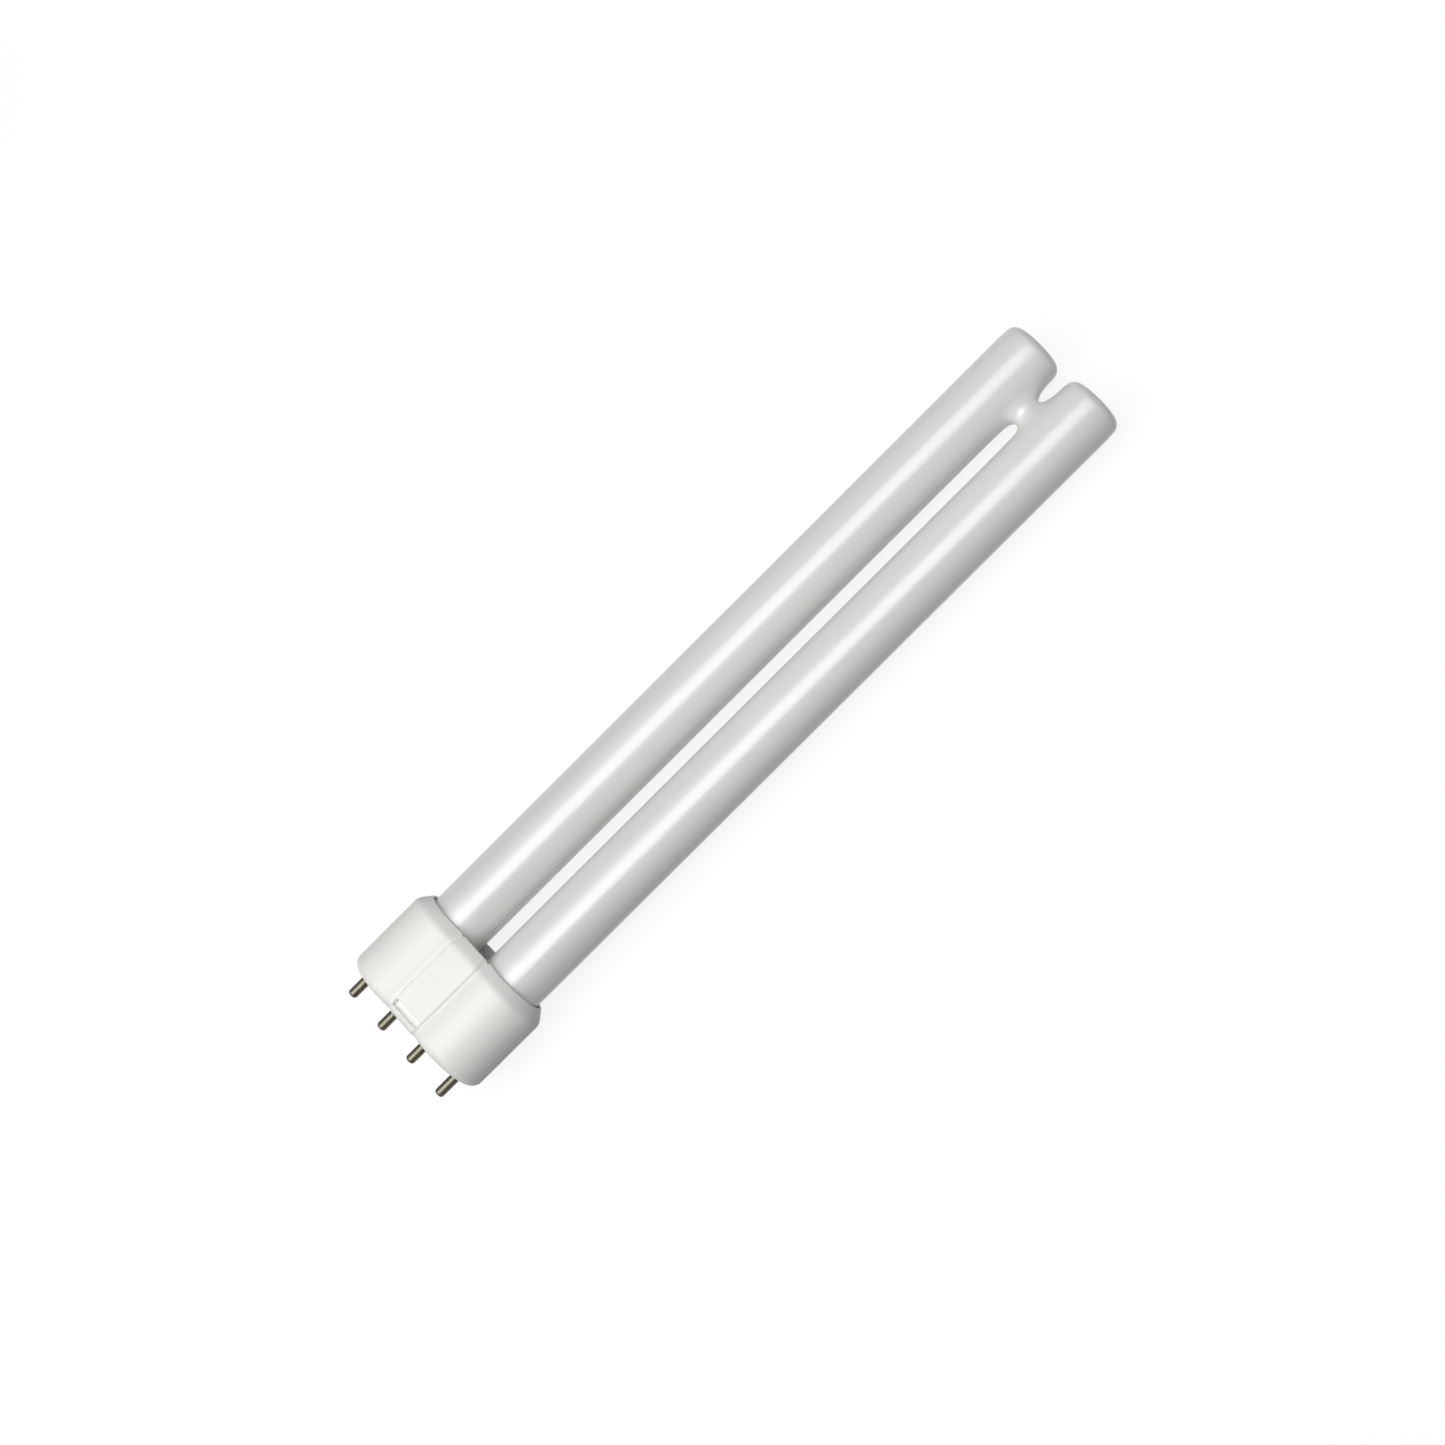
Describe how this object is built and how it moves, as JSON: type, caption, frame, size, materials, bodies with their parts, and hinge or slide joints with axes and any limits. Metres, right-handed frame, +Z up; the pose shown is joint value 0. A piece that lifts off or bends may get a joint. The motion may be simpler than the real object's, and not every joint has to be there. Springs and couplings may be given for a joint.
{
  "type": "four pin compact fluorescent lamp",
  "caption": "Twin tube compact fluorescent lamp: two long parallel glass limbs bridged near the tips, in a moulded white cap with a row of round contact pins.",
  "frame": {"origin": "under the middle of the lamp as it lies on its broad side: halfway from the pins' ends to the limbs' tips, on the cap's centre line, at the height of the cap's lowest line", "axes": "+X across the two limbs, +Y along the lamp from the pins to the limbs' tips, +Z up, square to the cap's broad face"},
  "size_m": [0.043, 0.2266, 0.023],
  "materials": {
    "coated_glass": "gloss",
    "cap_plastic": "satin",
    "cement": "matte",
    "pin_brass": "satin",
    "lead_wire": "satin"
  },
  "bodies": {
    "root": {"discharge_tube": "coated_glass", "cap_housing": "cap_plastic", "left_cement": "cement", "right_cement": "cement", "contact_pin_1": "pin_brass", "lead_wire_1": "lead_wire", "contact_pin_2": "pin_brass", "lead_wire_2": "lead_wire", "contact_pin_3": "pin_brass", "lead_wire_3": "lead_wire", "contact_pin_4": "pin_brass", "lead_wire_4": "lead_wire"}
  },
  "joints": []
}
